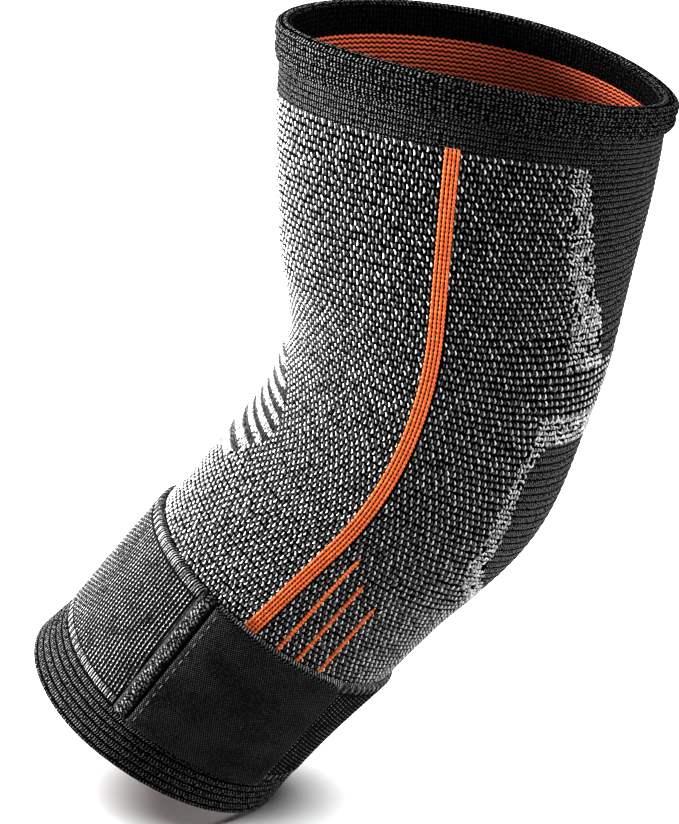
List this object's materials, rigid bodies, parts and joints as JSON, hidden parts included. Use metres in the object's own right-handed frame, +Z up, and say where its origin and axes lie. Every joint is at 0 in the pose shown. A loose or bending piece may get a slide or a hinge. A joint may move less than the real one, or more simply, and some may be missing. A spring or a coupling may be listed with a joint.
{
  "type": "elbow brace",
  "caption": "Knitted compression sleeve for the elbow, bent as worn, with a doubled top hem, a ribbed bottom cuff and a hook-and-loop strap round the forearm end.",
  "frame": {"origin": "the elbow's centre: the middle of the bend, on the sleeve's centre line, where the arm's joint sits", "axes": "+Z up towards the upper arm's opening, +X towards the point of the elbow, -X towards the crook of the arm, -Y the side with the strap's tab"},
  "size_m": [0.1955, 0.0847, 0.2557],
  "materials": {
    "sleeve_knit": "heather knit, black with grey-white stitches, grey and dark ribbed panels, orange knitted lines, orange inside",
    "hem_knit": "black fine rib knit",
    "cuff_rib": "black rib knit",
    "strap_elastic": "elastic knit, black with small white stitches",
    "strap_fold_elastic": "folded elastic knit, sewn",
    "tab_cloth": "smooth black woven hook-and-loop cloth"
  },
  "bodies": {
    "root": {"sleeve_body": "sleeve_knit", "top_hem": "hem_knit", "bottom_cuff": "cuff_rib", "strap_band": "strap_elastic", "strap_fold": "strap_fold_elastic", "strap_tab": "tab_cloth"}
  },
  "joints": []
}
